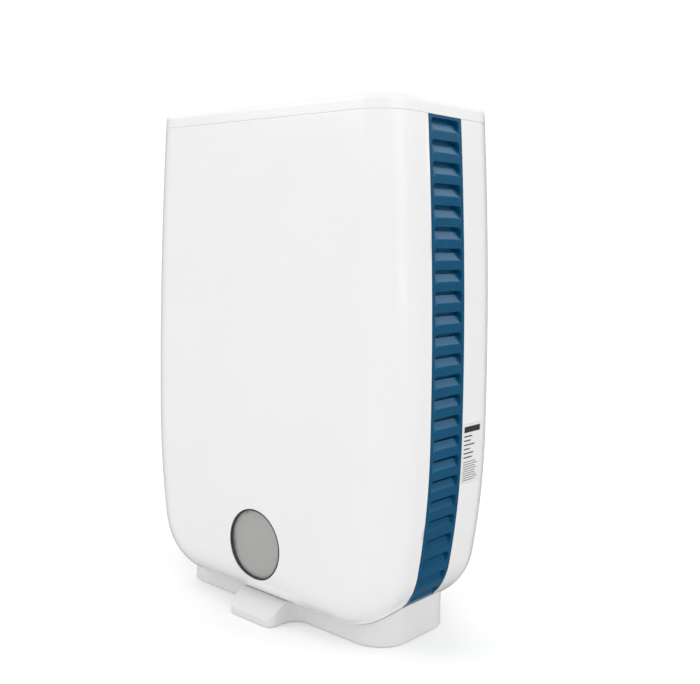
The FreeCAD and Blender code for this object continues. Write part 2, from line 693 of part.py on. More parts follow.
def tank_grip(margin):
    """Recess for the fingers in the face panel, or the skin round it."""
    half = TANK_GRIP_HALF_W + margin
    y0 = BACK_Y - TANK_GRIP_D - margin
    z0 = TANK_GRIP_Z0 - margin
    z1 = TANK_GRIP_Z1 + margin
    return round_box(-half, half, y0, BACK_Y + EDGE_R, z0, z1, TANK_GRIP_R + margin, 1)


def tank_face():
    """White panel that closes the back of the body and carries the grip."""
    face = span_y(tank_body_space(0.0), TANK_FACE_Y, BACK_Y + TINY)
    hollow = span_y(tank_body_space(TANK_WALL), TANK_FACE_Y - TINY, BACK_Y)
    hollow = hollow.common(box(-HEIGHT, HEIGHT, FRONT_Y, BACK_Y, 0, TANK_TOP_Z))
    return face.cut([hollow.cut(tank_grip(TANK_WALL)), tank_grip(0.0)])


def tank_lid():
    y1 = TANK_FACE_Y - FIT_GAP
    half = TANK_HALF_W - 0.5
    z1 = TANK_TOP_Z + TANK_LID_T
    lid = round_box(-half, half, TANK_FRONT_Y + 0.5, y1, TANK_TOP_Z, z1, 4.0)
    ear_gap = FLOAT_HALF_W + 4.0
    ears = []
    for side in (-1, 1):
        x = FLOAT_X + side * ear_gap
        ear = box(x - 1.5, x + 1.5, FLOAT_PIVOT_Y - 5, FLOAT_PIVOT_Y + 5, FLOAT_PIVOT_Z - 5, TANK_TOP_Z)
        ears.append(ear.cut(cyl_x(FLOAT_PIVOT_Y, FLOAT_PIVOT_Z, FLOAT_PIN_R + RUN_GAP, x - 3, x + 3)))
    tools = [cyl_z(DRAIN_X, DRAIN_Y, 16.0, TANK_TOP_Z - TINY, z1 + TINY)]
    return lid.fuse(ears).removeSplitter().cut(tools)


def float_arm():
    half = FLOAT_HALF_W
    y1 = FLOAT_PIVOT_Y - 14
    block = round_box(FLOAT_X - half, FLOAT_X + half, y1 - 34, y1, FLOAT_Z0, FLOAT_Z0 + 16, 5.0)
    arm = box(FLOAT_X - 4, FLOAT_X + 4, y1 - 10, FLOAT_PIVOT_Y, FLOAT_PIVOT_Z - 4, FLOAT_PIVOT_Z + 0.5)
    post = box(FLOAT_X - 4, FLOAT_X + 4, y1 - 10, y1 - 2, FLOAT_Z0 + 15, FLOAT_PIVOT_Z)
    hub = cyl_x(FLOAT_PIVOT_Y, FLOAT_PIVOT_Z, 4.5, FLOAT_X - half, FLOAT_X + half)
    reach = FLOAT_HALF_W + 5.0
    pin = cyl_x(FLOAT_PIVOT_Y, FLOAT_PIVOT_Z, FLOAT_PIN_R, FLOAT_X - reach, FLOAT_X + reach)
    pocket = cyl_z(FLOAT_X, y1 - 24, MAGNET_R, FLOAT_Z0 + 16 - MAGNET_T, FLOAT_Z0 + 20)
    return joined([block, arm, post, hub, pin]).cut(pocket)


def float_magnet():
    y = FLOAT_PIVOT_Y - 38
    return cyl_z(FLOAT_X, y, MAGNET_R, FLOAT_Z0 + 16 - MAGNET_T, FLOAT_Z0 + 16)


def reed_switch():
    y = FLOAT_PIVOT_Y - 38
    return box(FLOAT_X - 12, FLOAT_X + 12, y - 5, y + 5, SHELF_Z1, SHELF_Z1 + 5)


# ================================================================ lid and its fittings
def collar(half_w, y0, y1, wall, z0):
    return box(-half_w - wall, half_w + wall, y0 - wall, y1 + wall, z0, HEIGHT)


def top_lid():
    z0 = SEAM_Z + SEAM
    low = box(-HEIGHT, HEIGHT, FRONT_Y - TINY, BACK_Y + TINY, 0, z0)
    lid = envelope(0.0, HEIGHT, LID_ROUND).cut(low)
    lid = lid.cut(envelope(WALL, HEIGHT - WALL, LID_ROUND - WALL))
    pocket_z = HEIGHT - HANDLE_T - 4.5
    lid = lid.fuse([
        collar(OUTLET_HALF_W, OUTLET_Y0, OUTLET_Y1, COLLAR_T, SEAM_Z - 0.7),
        collar(PANEL_HALF_W, PANEL_Y0, PANEL_Y1, 2.0, z0 + 1.0),
        collar(HANDLE_POCKET_HALF_W, HANDLE_Y0, HANDLE_Y1, HANDLE_POCKET_WALL, pocket_z - 2.0),
    ]).removeSplitter()
    ledge = PANEL_LEDGE
    seat_z = HEIGHT - PANEL_SINK - PANEL_T
    out = HEIGHT + TINY
    tools = [
        box(-OUTLET_HALF_W, OUTLET_HALF_W, OUTLET_Y0, OUTLET_Y1, 0, out),
        box(-PANEL_HALF_W, PANEL_HALF_W, PANEL_Y0, PANEL_Y1, seat_z, out),
        box(-PANEL_HALF_W + ledge, PANEL_HALF_W - ledge, PANEL_Y0 + ledge, PANEL_Y1 - ledge, 0, out),
        box(-HANDLE_POCKET_HALF_W, HANDLE_POCKET_HALF_W, HANDLE_Y0, HANDLE_Y1, pocket_z, out),
        cyl_x(FLAP_Y, FLAP_Z, FLAP_PIN_R + RUN_GAP, -OUTLET_HALF_W - 9, OUTLET_HALF_W + 9),
        cyl_x(HANDLE_Y, HANDLE_Z, HANDLE_PIN_R + RUN_GAP, -HANDLE_PIN_X - 0.4, HANDLE_PIN_X + 0.4),
    ]
    return lid.cut(tools)


def outlet_louvre():
    """Flap over the air outlet; its rear edge is a barrel round the hinge line."""
    half = OUTLET_HALF_W - FLAP_GAP
    plate = box(-half, half, OUTLET_Y0 + FLAP_GAP, FLAP_Y, HEIGHT - FLAP_T, HEIGHT)
    barrel = cyl_x(FLAP_Y, FLAP_Z, FLAP_T, -half, half)
    barrel = barrel.cut(box(-half - 1, half + 1, OUTLET_Y0, FLAP_Y, 0, HEIGHT - FLAP_T))
    pins = cyl_x(FLAP_Y, FLAP_Z, FLAP_PIN_R, -half - 3.0, half + 7.0)
    return plate.fuse([barrel, pins]).removeSplitter()


def louvre_stepper():
    x0 = OUTLET_HALF_W + COLLAR_T + 0.1
    body = cyl_x(FLAP_Y, FLAP_Z - 8.4, 9.0, x0, x0 + 14)
    return body.cut(cyl_x(FLAP_Y, FLAP_Z, FLAP_PIN_R + RUN_GAP, x0 - 1, x0 + 4))


def outlet_grille():
    z1 = SEAM_Z + 4.0
    half = OUTLET_HALF_W - 0.2
    grille = box(-half, half, OUTLET_Y0 + 0.2, OUTLET_Y1 - 0.2, z1 - 3.0, z1)
    slots = []
    x = -half + 6.0
    while x + 3.8 < half - 5:
        slots.append(box(x, x + 3.8, OUTLET_Y0 + 5, OUTLET_Y1 - 5, 0, HEIGHT))
        x += 6.4
    return grille.cut(slots)


def carry_handle():
    z0 = HANDLE_Z - HANDLE_T / 2
    z1 = HANDLE_Z + HANDLE_T / 2
    outer = HANDLE_POCKET_HALF_W - 0.6
    bar_y = HANDLE_Y0 + 3.0
    loop = round_box(-outer, outer, bar_y, HANDLE_Y, z0, z1, 5.0)
    inner_x = outer - HANDLE_W
    inner = round_box(-inner_x, inner_x, bar_y + HANDLE_W, HANDLE_Y + 20, z0 - 1, z1 + 1, 4.0)
    arms = []
    for x0 in (-outer, outer - HANDLE_W):
        arms.append(cyl_x(HANDLE_Y, HANDLE_Z, HANDLE_T / 2, x0, x0 + HANDLE_W))
        arms.append(box(x0, x0 + HANDLE_W, HANDLE_Y - 12, HANDLE_Y, z0, z1))
    arms.append(cyl_x(HANDLE_Y, HANDLE_Z, HANDLE_PIN_R, -HANDLE_PIN_X, -outer))
    arms.append(cyl_x(HANDLE_Y, HANDLE_Z, HANDLE_PIN_R, outer, HANDLE_PIN_X))
    return loop.cut(inner).fuse(arms).removeSplitter()


def control_panel():
    z1 = HEIGHT - PANEL_SINK
    half = PANEL_HALF_W - FIT_GAP
    panel = box(-half, half, PANEL_Y0 + FIT_GAP, PANEL_Y1 - FIT_GAP, z1 - PANEL_T, z1)
    tools = [cyl_z(x, PANEL_MID_Y, BUTTON_R + FIT_GAP, 0, HEIGHT) for x in BUTTON_XS]
    tools += [cyl_z(x, PANEL_MID_Y, LAMP_R, 0, HEIGHT) for x in LAMP_XS]
    tools.append(box(-DISPLAY_HALF_W, DISPLAY_HALF_W, PANEL_MID_Y - 5, PANEL_MID_Y + 5, 0, HEIGHT))
    return panel.cut(tools)


def display_window():
    z1 = HEIGHT - PANEL_SINK
    half = DISPLAY_HALF_W - 0.1
    return box(-half, half, PANEL_MID_Y - 4.9, PANEL_MID_Y + 4.9, z1 - PANEL_T, z1 - 0.2)


def indicator_lamps():
    z1 = HEIGHT - PANEL_SINK
    return Part.makeCompound([cyl_z(x, PANEL_MID_Y, LAMP_R - 0.1, z1 - 4.0, z1 - 0.1) for x in LAMP_XS])


def push_button(x):
    top = HEIGHT - PANEL_SINK + 0.9
    under = HEIGHT - PANEL_SINK - PANEL_T
    cap = cyl_z(x, PANEL_MID_Y, BUTTON_R, under - 1.5, top)
    cap = cap.makeFillet(0.6, [e for e in cap.Edges if min(p.Point.z for p in e.Vertexes) > top - 0.01])
    flange = cyl_z(x, PANEL_MID_Y, BUTTON_R + 1.0, under - 1.6, under - 0.2)
    stem = cyl_z(x, PANEL_MID_Y, 1.6, BOARD_Z1 + 2.2 + BUTTON_TRAVEL, under - 1.5)
    return cap.fuse([flange, stem]).removeSplitter()


def control_board():
    edge = PANEL_LEDGE + FIT_GAP
    half = PANEL_HALF_W - edge
    board = box(-half, half, PANEL_Y0 + edge, PANEL_Y1 - edge, BOARD_Z1 - 1.6, BOARD_Z1)
    y0, y1 = PANEL_MID_Y - 3, PANEL_MID_Y + 3
    switches = [box(x - 3, x + 3, y0, y1, BOARD_Z1, BOARD_Z1 + 2) for x in BUTTON_XS]
    return board.fuse(switches).removeSplitter()


# ================================================================ desiccant wheel
def gear_face(teeth, x, z, first_angle):
    """Flat gear outline in the XZ plane with a tooth centred on first_angle (radians)."""
    pitch_r = MODULE * teeth / 2
    tip_r = pitch_r + TOOTH_ADDENDUM * MODULE
    root_r = pitch_r - TOOTH_DEDENDUM * MODULE
    half = TOOTH_FILL * math.pi / teeth
    points = []
    for i in range(teeth):
        mid = first_angle + 2 * math.pi * i / teeth
        for radius, share in ((root_r, -1.5), (tip_r, -0.55), (tip_r, 0.55), (root_r, 1.5)):
            points.append(on_arc(x, z, radius, mid + share * half))
    return Part.Face(Part.makePolygon(points + points[:1]))


def gear_solid(teeth, x, z, first_angle, y0, y1):
    face = gear_face(teeth, x, z, first_angle)
    face.translate(v(0, y0, 0))
    return face.extrude(v(0, y1 - y0, 0))


def pinion_centre():
    reach = WHEEL_PITCH_R + PINION_PITCH_R + MESH_GAP
    return on_arc(0, WHEEL_Z, reach, math.radians(PINION_ANGLE))


def wheel_gear_rim():
    gear = gear_solid(WHEEL_TEETH, 0, WHEEL_Z, math.radians(PINION_ANGLE), WHEEL_Y0, WHEEL_Y0 + GEAR_T)
    band = cyl_y(0, WHEEL_Z, WHEEL_PITCH_R - TOOTH_DEDENDUM * MODULE, WHEEL_Y0, WHEEL_Y1)
    bore = cyl_y(0, WHEEL_Z, WHEEL_CORE_R, WHEEL_Y0 - 1, WHEEL_Y1 + 1)
    return gear.fuse(band).removeSplitter().cut(bore)


def desiccant_wheel():
    return tube_y(0, WHEEL_Z, WHEEL_CORE_R, WHEEL_HUB_R, WHEEL_Y0, WHEEL_Y1)


def wheel_hub():
    return tube_y(0, WHEEL_Z, WHEEL_HUB_R, WHEEL_AXLE_R + RUN_GAP, WHEEL_Y0, WHEEL_Y1)


def wheel_axle():
    return cyl_y(0, WHEEL_Z, WHEEL_AXLE_R, WHEEL_Y0, CASSETTE_Y0 + CASSETTE_T)


def drive_pinion():
    c = pinion_centre()
    gap = math.radians(PINION_ANGLE) + math.pi + math.pi / PINION_TEETH
    gear = gear_solid(PINION_TEETH, c.x, c.z, gap, WHEEL_Y0, WHEEL_Y0 + GEAR_T)
    return gear.fuse(cyl_y(c.x, c.z, FAN_SHAFT_R, CASSETTE_Y0 - 12, WHEEL_Y0)).removeSplitter()


def rotor_cassette():
    """Frame round the wheel, standing on the shelf, with a spider that holds the axle."""
    half = CASSETTE_HALF_W
    y0 = CASSETTE_Y0
    y1 = y0 + CASSETTE_T
    top = min(WHEEL_Z + half, SEAM_Z - 4.0)
    frame = round_box(-half, half, y0, y1, SHELF_Z1, top, 6.0, 1)
    c = pinion_centre()
    opening = cyl_y(0, WHEEL_Z, WHEEL_TIP_R + 3.0, y0 - 1, y1 + 1)
    pocket = cyl_y(c.x, c.z, PINION_PITCH_R + MODULE + 2.0, y0 - 1, y0 + GEAR_T + 4)
    frame = frame.cut([opening, pocket])
    reach = WHEEL_TIP_R + 6.0
    bar = box(-reach, reach, y1 - 4, y1, WHEEL_Z - 4, WHEEL_Z + 4)
    spider = [cyl_y(0, WHEEL_Z, WHEEL_HUB_R, y1 - 4, y1)]
    for angle in (0, 60, 120):
        spider.append(turned_y(bar, 0, WHEEL_Z, angle))
    frame = frame.fuse(spider).removeSplitter()
    return frame.cut(cyl_y(0, WHEEL_Z, WHEEL_AXLE_R, y1 - 10, y1 + 1))


def wheel_motor():
    c = pinion_centre()
    body = cyl_y(c.x, c.z, 14.0, CASSETTE_Y0 - 20, CASSETTE_Y0)
    ears = box(c.x - 21, c.x + 21, CASSETTE_Y0 - 2, CASSETTE_Y0, c.z - 5, c.z + 5)
    bore = cyl_y(c.x, c.z, FAN_SHAFT_R + RUN_GAP, CASSETTE_Y0 - 12.5, CASSETTE_Y0 + 1)
    return body.fuse(ears).removeSplitter().cut(bore)


# ================================================================ fans and air path
def scroll_form(inset, y0, y1, top):
    r = SCROLL_R - inset
    chute = box(-r, r, y0, y1, FAN_Z, top)
    return cyl_y(0, FAN_Z, r, y0, y1).fuse(chute).removeSplitter()


def fan_scroll():
    wall = SCROLL_WALL
    y0 = SCROLL_FRONT_Y
    top = SEAM_Z - 1.0
    form = scroll_form(0, y0, SCROLL_BACK_Y, top)
    form = form.cut(scroll_form(wall, y0 + wall, SCROLL_BACK_Y - wall, top + TINY))
    legs = box(-50, 50, y0, y0 + wall, SHELF_Z1, FAN_Z - SCROLL_R + 12)
    inlet = cyl_y(0, FAN_Z, 66.0, SCROLL_BACK_Y - 5, SCROLL_BACK_Y + 1)
    seat = cyl_y(0, FAN_Z, FAN_MOTOR_R, y0 - 1, y0 + wall + 1)
    return form.fuse(legs).removeSplitter().cut([inlet, seat])


def fan_motor():
    y0 = SCROLL_FRONT_Y
    body = cyl_y(0, FAN_Z, FAN_MOTOR_R, y0 - 10, y0 + 20)
    flange = cyl_y(0, FAN_Z, FAN_MOTOR_R + 7, y0 - 2, y0)
    bore = cyl_y(0, FAN_Z, FAN_SHAFT_R + RUN_GAP, y0 - 8, y0 + 21)
    return body.fuse(flange).removeSplitter().cut(bore)


def fan_shaft():
    return cyl_y(0, FAN_Z, FAN_SHAFT_R, SCROLL_FRONT_Y - 6, SCROLL_FRONT_Y + 30)


def fan_impeller():
    y0 = SCROLL_FRONT_Y + 6
    y1 = SCROLL_BACK_Y - 6
    cup_r = FAN_MOTOR_R + 4
    cup_y = SCROLL_FRONT_Y + 24
    parts = [
        tube_y(0, FAN_Z, FAN_R, cup_r, y0, y0 + 2.5),
        tube_y(0, FAN_Z, cup_r + 2, cup_r, y0, cup_y + 2),
        tube_y(0, FAN_Z, cup_r + 2, FAN_SHAFT_R, cup_y, cup_y + 2),
        tube_y(0, FAN_Z, 8, FAN_SHAFT_R, cup_y, cup_y + 6),
        tube_y(0, FAN_Z, FAN_R, FAN_R - 16, y1 - 2, y1),
    ]
    blade = box(FAN_R - 15, FAN_R - 1, y0 + 1, y1 - 1, FAN_Z - 0.8, FAN_Z + 0.8)
    blade.rotate(v(FAN_R - 8, 0, FAN_Z), v(0, 1, 0), 28)
    for i in range(FAN_BLADES):
        parts.append(turned_y(blade, 0, FAN_Z, 360.0 * i / FAN_BLADES))
    return joined(parts)


def heater_box():
    """Flat hood over the part of the wheel that is being dried out."""
    x0, y0 = 74.0, SCROLL_BACK_Y + 1
    hood = box(x0, CASSETTE_HALF_W, y0, CASSETTE_Y0, WHEEL_Z - HOOD_HALF_H, WHEEL_Z + HOOD_HALF_H)
    half_h = HOOD_HALF_H - HOOD_WALL
    x1, y1 = CASSETTE_HALF_W - HOOD_WALL, CASSETTE_Y0 + TINY
    return hood.cut(box(x0 + HOOD_WALL, x1, y0 + HOOD_WALL, y1, WHEEL_Z - half_h, WHEEL_Z + half_h))


def heater_coil():
    y = SCROLL_BACK_Y + 1 + HOOD_WALL
    half_h = HOOD_HALF_H - HOOD_WALL
    rods = [box(x, x + 4, y, y + 7, WHEEL_Z - half_h, WHEEL_Z + half_h) for x in (84, 98, 112)]
    return Part.makeCompound(rods)


def regen_housing():
    y0 = SCROLL_FRONT_Y + 10
    y1 = SCROLL_BACK_Y - 8
    case = cyl_y(REGEN_X, REGEN_Z, REGEN_R, y0, y1)
    case = case.cut(cyl_y(REGEN_X, REGEN_Z, REGEN_R - 2.5, y0 + 2.5, y1 - 2.5))
    legs = box(REGEN_X - 20, REGEN_X + 20, y0, y1, SHELF_Z1, REGEN_Z - REGEN_R + 4)
    legs = legs.cut(cyl_y(REGEN_X, REGEN_Z, REGEN_R - 1, y0 - 1, y1 + 1))
    holes = [cyl_y(REGEN_X, REGEN_Z, 12, y0 - 1, y0 + 4), cyl_y(REGEN_X, REGEN_Z, 18, y1 - 4, y1 + 1)]
    return case.fuse(legs).removeSplitter().cut(holes)


def regen_motor():
    y0 = SCROLL_FRONT_Y + 10
    body = cyl_y(REGEN_X, REGEN_Z, 12, y0 - 14, y0 + 2.5)
    flange = cyl_y(REGEN_X, REGEN_Z, 17, y0 - 2, y0)
    bore = cyl_y(REGEN_X, REGEN_Z, REGEN_SHAFT_R + RUN_GAP, y0 - 10, y0 + 5)
    return body.fuse(flange).removeSplitter().cut(bore)


def regen_impeller():
    y0 = SCROLL_FRONT_Y + 16
    y1 = SCROLL_BACK_Y - 14
    parts = [
        cyl_y(REGEN_X, REGEN_Z, REGEN_SHAFT_R, y0 - 14, y0 + 4),
        tube_y(REGEN_X, REGEN_Z, REGEN_FAN_R, REGEN_SHAFT_R, y0, y0 + 2),
        tube_y(REGEN_X, REGEN_Z, REGEN_FAN_R, REGEN_FAN_R - 8, y1 - 2, y1),
    ]
    rim_x = REGEN_X + REGEN_FAN_R
    blade = box(rim_x - 7, rim_x - 0.5, y0 + 1, y1 - 1, REGEN_Z - 0.6, REGEN_Z + 0.6)
    for i in range(REGEN_BLADES):
        parts.append(turned_y(blade, REGEN_X, REGEN_Z, 360.0 * i / REGEN_BLADES))
    return joined(parts)


def condenser():
    """Row of upright tubes between two headers, behind the wheel."""
    z0 = SHELF_Z1 + 30
    z1 = INTAKE_Z1
    y0 = CASSETTE_Y0 + CASSETTE_T + 6
    half = PORT_X - SPIGOT_CUP_R - 8
    parts = [box(-half, half, y0, y0 + 20, z0, z0 + 14), box(-half, half, y0, y0 + 20, z1 - 14, z1)]
    count = 10
    for i in range(count):
        x = -half + half * (2 * i + 1) / count
        parts.append(cyl_z(x, y0 + 10, 8.0, z0 + 10, z1 - 10))
    return joined(parts)


def drain_tray():
    y0 = CASSETTE_Y0 + CASSETTE_T + 2
    half = PORT_X - SPIGOT_CUP_R - 4
    tray = box(-half, half, y0, y0 + 29, SHELF_Z1, SHELF_Z1 + 30)
    tray = tray.cut(box(-half + 2, half - 2, y0 + 2, y0 + 27, SHELF_Z1 + 2, SHELF_Z1 + 29))
    tray = tray.cut(box(-half + 2, half - 2, y0 + 5, y0 + 24, SHELF_Z1 + 20, SHELF_Z1 + 40))
    tray = tray.fuse(cyl_z(DRAIN_X, DRAIN_Y, DRAIN_R + 0.8, SHELF_Z0 - 2, SHELF_Z1 + 1)).removeSplitter()
    return tray.cut(cyl_z(DRAIN_X, DRAIN_Y, DRAIN_R - 1, SHELF_Z0 - 5, SHELF_Z1 + 10))


def power_board():
    x1 = -SCROLL_R
    board = box(x1 - 6.6, x1 - 5, -52, -14, FAN_Z + 10, FAN_Z + 130)
    posts = [cyl_x(y, z, 3, x1 - 5, x1) for y in (-48, -18) for z in (FAN_Z + 16, FAN_Z + 124)]
    chips = [
        box(x1 - 18, x1 - 6.6, -44, -26, FAN_Z + 30, FAN_Z + 60),
        box(x1 - 13, x1 - 6.6, -40, -22, FAN_Z + 80, FAN_Z + 100),
    ]
    return board.fuse(posts + chips).removeSplitter()


# ================================================================ the parts
def main():
    os.makedirs("parts", exist_ok=True)
    shell = cover_shell()
    grille = side_grille_right()
    nodes = {
        "stand": stand(), "stand_plate": stand_plate(), "stand_screws": stand_screws(),
        "rubber_pads": rubber_pads(), "base_pan": base_pan(shell), "tank_tray": tank_tray(),
        "front_cover": front_cover(shell), "window_ring": window_ring(), "window_lens": window_lens(),
        "side_grille_right": grille, "side_grille_left": mirrored_x(grille), "chassis": chassis(),
        "rear_shell": rear_shell(shell), "back_cover": back_cover(shell), "cover_screws": cover_screws(),
        "rating_label": rating_label(), "intake_grille": intake_grille(), "filter_mesh": filter_mesh(),
        "cord_gland": cord_gland(), "drain_spigot": drain_spigot(), "drain_plug": drain_plug(),
        "water_tank": water_tank(), "tank_face": tank_face(), "tank_lid": tank_lid(),
        "float_arm": float_arm(), "float_magnet": float_magnet(), "reed_switch": reed_switch(),
        "top_lid": top_lid(),
        "outlet_louvre": outlet_louvre(), "louvre_stepper": louvre_stepper(),
        "outlet_grille": outlet_grille(), "carry_handle": carry_handle(),
        "control_panel": control_panel(), "display_window": display_window(),
        "indicator_lamps": indicator_lamps(), "control_board": control_board(),
        "rotor_cassette": rotor_cassette(), "wheel_axle": wheel_axle(), "wheel_hub": wheel_hub(),
        "desiccant_wheel": desiccant_wheel(), "wheel_gear_rim": wheel_gear_rim(),
        "drive_pinion": drive_pinion(), "wheel_motor": wheel_motor(), "fan_scroll": fan_scroll(),
        "fan_motor": fan_motor(), "fan_shaft": fan_shaft(), "fan_impeller": fan_impeller(),
        "heater_box": heater_box(), "heater_coil": heater_coil(), "regen_housing": regen_housing(),
        "regen_motor": regen_motor(), "regen_impeller": regen_impeller(), "condenser": condenser(),
        "drain_tray": drain_tray(), "power_board": power_board(),
    }
    for i, x in enumerate(BUTTON_XS):
        nodes["push_button_" + str(i + 1)] = push_button(x)
    for name, shape in nodes.items():
        write(name, shape)


main()
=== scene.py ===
import json
import math
import random

import bmesh
import bpy
from mathutils import Matrix, Vector


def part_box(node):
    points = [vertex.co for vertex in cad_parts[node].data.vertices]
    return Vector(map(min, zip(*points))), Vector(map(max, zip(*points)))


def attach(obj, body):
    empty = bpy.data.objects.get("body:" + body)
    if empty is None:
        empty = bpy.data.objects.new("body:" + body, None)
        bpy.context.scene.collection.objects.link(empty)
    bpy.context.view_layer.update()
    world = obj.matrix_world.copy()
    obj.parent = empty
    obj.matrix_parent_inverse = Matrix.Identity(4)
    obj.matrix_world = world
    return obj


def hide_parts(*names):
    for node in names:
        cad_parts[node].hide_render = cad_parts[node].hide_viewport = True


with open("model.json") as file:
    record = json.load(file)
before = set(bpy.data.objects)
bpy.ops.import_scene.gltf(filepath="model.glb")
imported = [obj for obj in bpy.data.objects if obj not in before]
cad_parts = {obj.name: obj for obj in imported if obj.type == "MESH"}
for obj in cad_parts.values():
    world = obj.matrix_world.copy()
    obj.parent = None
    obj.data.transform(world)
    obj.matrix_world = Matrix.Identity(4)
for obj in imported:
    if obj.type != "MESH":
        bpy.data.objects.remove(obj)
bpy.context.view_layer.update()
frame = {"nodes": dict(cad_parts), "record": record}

random.seed(7)

# ---------------------------------------------------------------- form of the body, in metres
LOWEST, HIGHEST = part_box("front_cover")
HALF_WIDTH = HIGHEST.x
FRONT_Y = LOWEST.y
BACK_Y = -FRONT_Y
SEAM_Z = HIGHEST.z
WIDEST_Z = 0.190
SIDE_UPPER_R = 3.500
SIDE_LOWER_R = 0.700
CORNER_TOP_Z = 0.070
CORNER_R = 0.064
EDGE_R = 0.034
WALL = 0.003
LABEL_SINK = 0.0005
COVER_TOP = SEAM_Z + 0.00022   # leaves a fine shadow line under the lid
RIM_SUPPORT = 0.0012           # keeps the shading of the rounded rim out of the walls
COVER_BEVEL = 0.0004
WINDOW_CUT = (0.010, 0.012)    # how far the window's cutter reaches before and behind the front
CORNER_ANGLE = math.asin((WIDEST_Z - CORNER_TOP_Z) / SIDE_LOWER_R)
UPPER_CX = HALF_WIDTH - SIDE_UPPER_R
LOWER_CX = HALF_WIDTH - SIDE_LOWER_R
CORNER_CX = LOWER_CX + (SIDE_LOWER_R - CORNER_R) * math.cos(CORNER_ANGLE)
CORNER_CZ = WIDEST_Z - (SIDE_LOWER_R - CORNER_R) * math.sin(CORNER_ANGLE)


# ================================================================ materials
def new_material(name, colour, roughness):
    """A Principled material with its node tree, ready for colour, bump and roughness detail."""
    mat = bpy.data.materials.new(name)
    mat.use_nodes = True
    shader = mat.node_tree.nodes["Principled BSDF"]
    shader.inputs["Base Color"].default_value = (*colour, 1.0)
    shader.inputs["Roughness"].default_value = roughness
    mat.diffuse_color = (*colour, 1.0)
    return mat, mat.node_tree, shader


def noise(tree, scale, detail=4.0):
    coords = tree.nodes.new("ShaderNodeTexCoord")
    node = tree.nodes.new("ShaderNodeTexNoise")
    node.inputs["Scale"].default_value = scale
    node.inputs["Detail"].default_value = detail
    tree.links.new(coords.outputs["Object"], node.inputs["Vector"])
    return node


def vary(tree, factor, low, high):
    """A colour that runs from low to high with a texture's value."""
    ramp = tree.nodes.new("ShaderNodeValToRGB")
    ramp.color_ramp.elements[0].position = 0.3
    ramp.color_ramp.elements[1].position = 0.7
    ramp.color_ramp.elements[0].color = (*low, 1.0)
    ramp.color_ramp.elements[1].color = (*high, 1.0)
    tree.links.new(factor, ramp.inputs["Fac"])
    return ramp.outputs["Color"]


def moulded(name, colour, roughness, grain=2600.0, bump=0.02, spread=0.03, rough_spread=0.05, coat=0.0):
    """Moulded plastic: slight colour and gloss variation over a fine surface grain."""
    mat, tree, shader = new_material(name, colour, roughness)
    wide = noise(tree, 14.0)
    low = tuple(c * (1.0 - spread) for c in colour)
    high = tuple(min(1.0, c * (1.0 + spread)) for c in colour)
    tree.links.new(vary(tree, wide.outputs["Fac"], low, high), shader.inputs["Base Color"])
    gloss = noise(tree, 60.0)
    span = tree.nodes.new("ShaderNodeMapRange")
    span.inputs["To Min"].default_value = max(0.02, roughness - rough_spread)
    span.inputs["To Max"].default_value = roughness + rough_spread
    tree.links.new(gloss.outputs["Fac"], span.inputs["Value"])
    tree.links.new(span.outputs["Result"], shader.inputs["Roughness"])
    fine = noise(tree, grain, 2.0)
    bump_node = tree.nodes.new("ShaderNodeBump")
    bump_node.inputs["Strength"].default_value = bump
    bump_node.inputs["Distance"].default_value = 0.0002
    tree.links.new(fine.outputs["Fac"], bump_node.inputs["Height"])
    tree.links.new(bump_node.outputs["Normal"], shader.inputs["Normal"])
    shader.inputs["Coat Weight"].default_value = coat
    shader.inputs["Coat Roughness"].default_value = 0.08
    return mat


def clear_plastic(name, colour, roughness, alpha):
    mat = moulded(name, colour, roughness, grain=900.0, bump=0.01)
    mat.node_tree.nodes["Principled BSDF"].inputs["Alpha"].default_value = alpha
    return mat


def metal(name, colour, roughness):
    mat = moulded(name, colour, roughness, grain=1800.0, bump=0.05)
    mat.node_tree.nodes["Principled BSDF"].inputs["Metallic"].default_value = 1.0
    return mat


def woven(name, colour, threads):
    """Fine net: crossed wave bands raise the threads and darken the holes."""
    mat, tree, shader = new_material(name, colour, 0.8)
    coords = tree.nodes.new("ShaderNodeTexCoord")
    heights = []
    for direction in ("X", "Z"):
        wave = tree.nodes.new("ShaderNodeTexWave")
        wave.bands_direction = direction
        wave.inputs["Scale"].default_value = threads
        tree.links.new(coords.outputs["Object"], wave.inputs["Vector"])
        heights.append(wave.outputs["Fac"])
    top = tree.nodes.new("ShaderNodeMath")
    top.operation = "MAXIMUM"
    tree.links.new(heights[0], top.inputs[0])
    tree.links.new(heights[1], top.inputs[1])
    dark = tuple(c * 0.3 for c in colour)
    tree.links.new(vary(tree, top.outputs[0], dark, colour), shader.inputs["Base Color"])
    bump_node = tree.nodes.new("ShaderNodeBump")
    bump_node.inputs["Distance"].default_value = 0.0004
    tree.links.new(top.outputs[0], bump_node.inputs["Height"])
    tree.links.new(bump_node.outputs["Normal"], shader.inputs["Normal"])
    return mat


